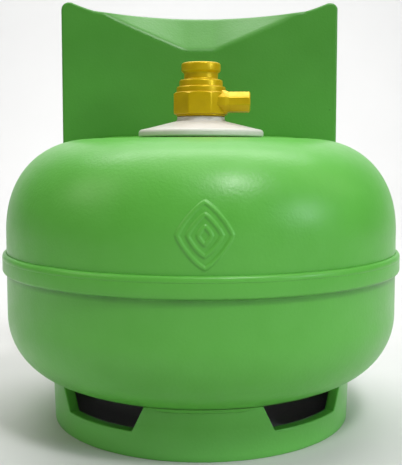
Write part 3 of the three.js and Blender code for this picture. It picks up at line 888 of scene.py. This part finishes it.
def build_guard():
    """The guard plate, one bent sheet built about its middle surface."""
    half = SHEET / 2
    reach = GUARD_HALF - half
    foot_rows, bend_rows, flap_rows = 22, 7, 14
    grid = []
    for x in guard_columns(reach):
        foot = crown_height(x, GUARD_Y - half, 0.3) + half * 0.9
        top = guard_top(x * GUARD_HALF / reach) - half
        crease = min(guard_crease(x), top - 1.0)
        tall = top - crease
        back = grip_back(abs(x), tall)
        bend = min(2.0, tall * 0.45)
        share = bend / tall
        column = [(x, GUARD_Y, foot + (crease - bend - foot) * i / foot_rows) for i in range(foot_rows + 1)]
        for i in range(1, bend_rows + 1):
            t = i / bend_rows
            y = (1 - t * t) * GUARD_Y + t * t * (GUARD_Y + back * share)
            z = (1 - t) ** 2 * (crease - bend) + 2 * t * (1 - t) * crease + t * t * (crease + bend)
            column.append((x, y, z))
        for i in range(1, flap_rows + 1):
            t = share + (1 - share) * i / flap_rows
            column.append((x, GUARD_Y + back * t, crease + tall * t))
        grid.append(column)
    painted("valve_guard", sheet_body(grid, SHEET), "guard_plate", SHADED_GUARD_PAINT)


# ---- neck

HEAD_TOP_Z = crown_height(0, 0)


def build_bung():
    """The threaded seat in the head, with its flange on the outside."""
    low, seat = HEAD_TOP_Z - 9, HEAD_TOP_Z + 0.3
    neck = HEAD_TOP_Z + 8.5
    outline = rounded_loop([
        (12.3, low, 0.3), (HOLE_R - 0.3, low, 0.5), (HOLE_R - 0.3, seat), (24, seat, 0.3),
        (24, HEAD_TOP_Z + 3.6, 0.8), (16, HEAD_TOP_Z + 4.6, 1.0), (15.4, neck, 0.6), (13.2, neck),
        (12.3, HEAD_TOP_Z + 7.6),
    ])
    points, faces = turned(outline, True, 96)
    new_piece("bung", points, faces, STEEL, "tank", ["valve_bung"])


def build_bung_weld():
    """The rippled weld round the bung's flange."""
    foot_r, foot_z, out, up = 24.3, HEAD_TOP_Z + 0.3, 3.2, 2.6
    rings = []
    count = 300
    for i in range(count):
        a = 2 * math.pi * i / count
        waver = noise.noise(Vector((math.cos(a) * 6, math.sin(a) * 6, 2)))
        grow = 0.12 * math.sin(i * 2 * math.pi / 5) + 0.15 * waver
        section = [(foot_r, foot_z)]
        for k in range(8):
            t = k / 7 * math.pi / 2
            section.append((foot_r + (out + grow) * math.cos(t), foot_z + (up + grow) * math.sin(t)))
        rings.append([(r * math.cos(a), r * math.sin(a), z) for r, z in section])
    points, faces = tube_through(rings, wrap=True)
    new_piece("bung_bead", points, faces, STEEL, "tank", ["bung_weld"])


def build_collar():
    """The white cone round the valve's foot, a moulded shell open underneath."""
    top = HEAD_TOP_Z
    outline = rounded_loop([
        (12.8, 198.4, 0.4), (12.8, 201, 0.3), (16.2, 201, 0.8), (16.2, 198.2, 2.0), (37.5, 192.9, 9.0),
        (42.4, 191.9, 2.6), (42.4, top + 0.9, 1.8), (41.0, top + 0.3, 0.4), (39.4, top + 0.3, 0.4),
        (39.4, 190.2, 0.8), (17, 195.7, 1.2),
    ], 10.0)
    points, faces = turned(outline, True, 160)
    new_piece("collar", points, faces, WHITE, "tank", ["neck_collar"])


# ---- valve

def turned_home(p):
    """From the valve's own square frame to the way that it is screwed home."""
    c, s = math.cos(VALVE_TURN), math.sin(VALVE_TURN)
    return (p[0] * c - p[1] * s, p[0] * s + p[1] * c, p[2])


def sideways(p):
    """From a piece turned about Z to one that lies along the relief boss."""
    return turned_home((p[2], p[1], BOSS_Z - p[0]))


def block_radius(angle):
    """Eight-sided outline with slightly rounded corners."""
    step = math.pi / 4
    a = (angle + step / 2) % step - step / 2
    flat = BLOCK_APOTHEM / math.cos(a)
    corner = BLOCK_APOTHEM / math.cos(step / 2)
    return min(flat, corner - 0.28 + 0.12 * math.cos(8 * (angle + step / 2)))


def block_body():
    """The spanner block, its corners cut back by a cone above and below."""
    z0, z1 = BLOCK_Z
    top_r, low_r, inner_r = 17.3, 18.6, 6.0
    segments = 320
    rings = []
    for k in range(segments):
        a = 2 * math.pi * k / segments
        r = block_radius(a)
        upper = z1 - max(0.0, r - top_r) * 0.62
        lower = z0 + max(0.0, r - low_r) * 0.6
        outline = rounded([
            (inner_r, z0), (r - 0.6, z0, 0.1), (r, lower + 0.35, 0.25),
            (r, upper, 0.3), (min(r, top_r), z1, 0.3), (inner_r, z1),
        ], 30.0)
        rings.append([turned_home((q[0] * math.cos(a), q[0] * math.sin(a), q[1])) for q in outline])
    return tube_through(rings, wrap=True)


def boss_body():
    """The relief boss: a flat eight-sided bar with rounded end and a fillet where it leaves the block."""
    by, bz, cut_y, cut_z = 13.3, 6.6, 5.2, 4.2
    root, fillet_long, fillet_high, end_r = 16.2, 3.0, 1.2, 1.3
    corners = [
        (-by, -bz + cut_z), (-by + cut_y, -bz), (by - cut_y, -bz), (by, -bz + cut_z),
        (by, bz - cut_z), (by - cut_y, bz), (-by + cut_y, bz), (-by, bz - cut_z),
    ]
    outline = rounded_loop([(y, z, 1.1) for y, z in corners], 12.0)
    stations = [(6.0, 0.0)]
    for k in range(9):
        t = k / 8 * math.pi / 2
        stations.append((root + fillet_long * math.sin(t), fillet_high * (1 - math.sin(t))))
    stations += [(BOSS_END - end_r, 0.0)]
    for k in range(1, 7):
        t = k / 6 * math.pi / 2
        stations.append((BOSS_END - end_r + end_r * math.sin(t), -end_r * (1 - math.cos(t))))
    rings = []
    for x, grow in stations:
        ring = []
        for y, z in outline:
            out = unit(np.array((y / by, z / bz)))
            ring.append(turned_home((x, y + out[0] * grow, BOSS_Z + z + out[1] * grow)))
        rings.append(ring)
    return tube_through(rings)


def solid_object(name, body):
    """An object for cutting and joining, from the points and faces of a closed body."""
    points, faces = body
    mesh = bpy.data.meshes.new(name)
    mesh.from_pydata([tuple(c * MM for c in p) for p in points], [], faces)
    face_outwards(mesh, merge_within=1e-7)
    made = bpy.data.objects.new(name, mesh)
    bpy.context.scene.collection.objects.link(made)
    return made


def combine(base, other, operation):
    """Joins or cuts base by other, which is used up."""
    modifier = base.modifiers.new("combine", "BOOLEAN")
    modifier.operation = operation
    modifier.solver = "EXACT"
    modifier.object = other
    bpy.context.view_layer.update()
    evaluated = base.evaluated_get(bpy.context.evaluated_depsgraph_get())
    mesh = bpy.data.meshes.new_from_object(evaluated)
    base.modifiers.clear()
    base.data = mesh
    bpy.data.objects.remove(other)


def build_valve_body():
    """The casting: turned spindle, spanner block and boss in one, bored from below and along the boss."""
    spindle = rounded([
        (0, 177), (10.4, 177, 0.2), (12, 178.6, 0.3), (12, 201.3), (16.6, 201.3, 0.3), (16.6, 203.5),
        (16.6, 216.0), (16.6, 221.1, 1.1), (14.7, 221.2, 0.4), (14.7, 225.8, 1.4), (11.5, 225.9, 1.0),
        (11.5, 230.4, 1.2), (13.3, 231.6, 1.3), (13.3, LIP_Z, 2.3), (9.9, LIP_Z, 0.3),
        (8.8, LIP_Z - 1.1, 0.4), (8.8, 226, 0.3), (6, 226, 0.3), (6, 219, 0.3),
        (3.2, 219, 0.3), (3.2, SEAT_Z, 0.2), (0, SEAT_Z),
    ], 15.0)
    valve = solid_object("valve", turned(spindle, False, 144))
    combine(valve, solid_object("block", block_body()), "UNION")
    combine(valve, solid_object("boss", boss_body()), "UNION")
    chamber = [(0, 170), (8, 170), (8, SEAT_Z), (3.0, SEAT_Z), (3.0, 222), (0, 222)]
    combine(valve, solid_object("chamber", turned(chamber, False, 96)), "DIFFERENCE")
    past_end = BOSS_END + 2
    bore = [(0, 4), (1.6, 4), (1.6, RELIEF_X), (4.6, RELIEF_X), (4.6, BOSS_END - 0.8), (5.4, BOSS_END)]
    bore += [(5.4, past_end), (0, past_end)]
    combine(valve, solid_object("bore", turned(bore, False, 64, sideways)), "DIFFERENCE")
    shade_smooth(valve.data)
    valve.data.set_sharp_from_angle(angle=math.radians(32))
    valve.data.materials.clear()
    valve.data.materials.append(BRASS)
    valve.name = "valve_casting"
    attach(valve, "tank")
    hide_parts("valve_body")


def coil(radius, wire, z0, z1, turns, place):
    """A compression spring with closed, ground end turns."""
    rings = []
    count = round(turns * 36)
    for i in range(count + 1):
        t = i / count
        lap = t * turns
        closed_end = 0.8
        rise = np.interp(lap, [0, closed_end, turns - closed_end, turns], [0, 0.09, 0.91, 1])
        a = lap * 2 * math.pi
        z = z0 + wire + (z1 - z0 - 2 * wire) * rise
        ring = []
        for k in range(10):
            b = 2 * math.pi * k / 10
            r = radius + wire * math.cos(b)
            ring.append(place((r * math.cos(a), r * math.sin(a), z + wire * math.sin(b))))
        rings.append(ring)
    return tube_through(rings)


def add_turned(name, corners, material, body, node, place=None, closed=False):
    """A small turned piece: a ring if its outline is closed, a pin or disc if it is not."""
    outline = rounded_loop(corners) if closed else rounded(corners)
    points, faces = turned(outline, closed, 72, place)
    new_piece(name, points, faces, material, body, [node])


def build_outlet_works():
    """Ring, pin, washer, gland ring and spring on the valve's upright axis."""
    add_turned("outlet_ring", [(5.4, 226.3, 0.2), (8.5, 226.3, 0.2), (8.5, 229.6, 0.6), (5.4, 229.6, 0.9)],
               RUBBER, "tank", "outlet_seal", closed=True)
    add_turned("pin", [(0, 197), (2.3, 197, 0.5), (2.3, 208.6), (5.6, 208.6, 0.3), (5.6, 211.8, 0.3),
                       (2.4, 211.8), (2.4, 232.2, 0.8), (0, 232.2)],
               PIN_STEEL, "pin", "valve_pin")
    add_turned("pin_washer", [(2.7, 212.1, 0.1), (6.4, 212.1, 0.4), (6.4, 214.7, 0.4), (2.7, 214.7, 0.1)],
               RUBBER, "pin", "pin_seal", closed=True)
    add_turned("gland_ring", [(2.6, 182.5, 0.3), (7.6, 182.5, 0.5), (7.6, 188.5, 0.3), (2.6, 188.5, 0.3)],
               BRASS, "tank", "spring_retainer", closed=True)
    points, faces = coil(4.1, 0.68, *PIN_SPRING_Z, 5.5, lambda p: p)
    spring = new_piece("main_spring", points, faces, WIRE, "tank", ["pin_spring"])
    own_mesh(spring)


def build_relief_works():
    """Washer, plunger, spring and screw along the relief boss."""
    x = RELIEF_X
    add_turned("relief_washer", [(0, x + 0.3), (3.6, x + 0.3, 0.2), (3.6, x + 1.6, 0.2), (0, x + 1.6)],
               RUBBER, "relief", "relief_seal", sideways)
    add_turned("relief_plunger", [(0, x + 1.9), (3.9, x + 1.9, 0.3), (3.9, x + 4, 0.3), (1.3, x + 4),
                                  (1.3, 25.9, 0.4), (0, 25.9)],
               PIN_STEEL, "relief", "relief_poppet", sideways)
    points, faces = coil(3.0, 0.48, x + 4.3, RELIEF_SPRING_END, 5, sideways)
    spring = new_piece("side_spring", points, faces, WIRE, "tank", ["relief_spring"])
    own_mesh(spring)
    add_turned("relief_screw", [(1.9, 27, 0.2), (4.3, 27, 0.3), (4.3, 31.5, 0.6), (1.9, 31.5, 0.4)],
               BRASS, "tank", "relief_retainer", sideways, closed=True)


# ---- scene

EYE = (-0.008, -0.5278, 0.17598)
LOOK_RIGHT = math.atan2(-EYE[0], -EYE[1])
LOOK_DOWN = math.radians(4.457)
SENSOR_MM = 36
FOCAL_PX = 770.8
LONG_SIDE_PX = 465
CENTRE_ABOVE_PX = 18.5  # how far the picture's middle lies above the line of sight
WARM = (1.0, 0.94, 0.82)


def build_camera():
    data = bpy.data.cameras.new("camera")
    data.sensor_width = SENSOR_MM
    data.lens = SENSOR_MM * FOCAL_PX / LONG_SIDE_PX
    data.shift_y = -CENTRE_ABOVE_PX / LONG_SIDE_PX
    camera = bpy.data.objects.new("camera", data)
    camera.location = EYE
    camera.rotation_euler = (math.pi / 2 - LOOK_DOWN, 0, -LOOK_RIGHT)
    bpy.context.scene.collection.objects.link(camera)
    bpy.context.scene.camera = camera


def area_light(name, at, target, size, power, color=(1, 1, 1)):
    """A rectangular light of that size in metres and power in watts, turned to its target."""
    data = bpy.data.lights.new(name, "AREA")
    data.shape = "RECTANGLE"
    data.size, data.size_y = size
    data.energy = power
    data.color = color
    light = bpy.data.objects.new(name, data)
    light.location = at
    light.rotation_euler = (Vector(target) - Vector(at)).to_track_quat("-Z", "Y").to_euler()
    bpy.context.scene.collection.objects.link(light)


def build_sweep():
    """A pale sheet of paper under the object that curves up behind it."""
    front, back, curve_r, top, half_wide = -2.2, 1.1, 0.6, 2.6, 2.6
    outline = [(front, 0.0), (back, 0.0)]
    for k in range(1, 13):
        t = k / 12 * math.pi / 2
        outline.append((back + curve_r * math.sin(t), curve_r * (1 - math.cos(t))))
    outline.append((back + curve_r, top))
    points = [(x, y, z) for x in (-half_wide, half_wide) for y, z in outline]
    count = len(outline)
    faces = [[i, i + 1, count + i + 1, count + i] for i in range(count - 1)]
    mesh = bpy.data.meshes.new("sweep")
    mesh.from_pydata(points, [], faces)
    shade_smooth(mesh)
    n = Nodes("sweep_paper")
    color = n.mix(n.ramp(n.noise(3, 2, 0.5), 0.3, 0.7), (0.66, 0.66, 0.66), (0.64, 0.64, 0.64))
    rough = n.ramp(n.noise(40, 2, 0.5), 0.3, 0.7, 0.75, 0.85)
    normal = n.bump(n.noise(300, 2, 0.5), 0.0001, 0.1)
    mesh.materials.append(n.finish(color, rough, normal))
    sweep = bpy.data.objects.new("sweep", mesh)
    bpy.context.scene.collection.objects.link(sweep)


def build_lights():
    """A soft light above, two small ones that make the highlights, and weak fills all round."""
    world = bpy.data.worlds.new("studio")
    world.use_nodes = True
    background = world.node_tree.nodes["Background"].inputs
    background["Color"].default_value = (1, 1, 1, 1)
    background["Strength"].default_value = 0.11
    bpy.context.scene.world = world
    bpy.context.scene.view_settings.view_transform = "Standard"
    area_light("top", (0.0, -0.1, 1.45), (0, 0, 0.15), (1.2, 0.9), 4.8, (1.0, 0.97, 0.90))
    area_light("key", (0.35, -0.706, 1.295), (0, 0, 0.15), (0.24, 0.24), 8.6)
    area_light("front_right", (1.25, -0.79, 0.62), (0, 0, 0.14), (0.33, 0.33), 5.2, (0.82, 0.95, 1.0))
    area_light("left", (-1.2, -0.35, 1.1), (0, 0, 0.12), (0.6, 0.8), 3.6, WARM)
    area_light("right", (1.2, 0.0, 1.1), (0, 0, 0.12), (0.6, 0.8), 1.8, WARM)
    area_light("back", (0, 0.75, 1.25), (0, 0, 0.18), (1.4, 0.5), 0.8)
    area_light("low_front", (0.1, -1.5, 0.25), (0, 0, 0.05), (1.6, 0.4), 0.9)
    area_light("back_wall", (0, 0.7, 1.9), (0, 1.7, 0.6), (2.4, 0.6), 46)


build_camera()
build_sweep()
build_lights()
build_upper_shell()
build_lower_shell()
build_girth_weld()
build_foot_band()
build_notch_edges()
build_foot_welds()
build_guard()
build_guard_welds()
build_bung()
build_bung_weld()
build_collar()
build_valve_body()
build_outlet_works()
build_relief_works()
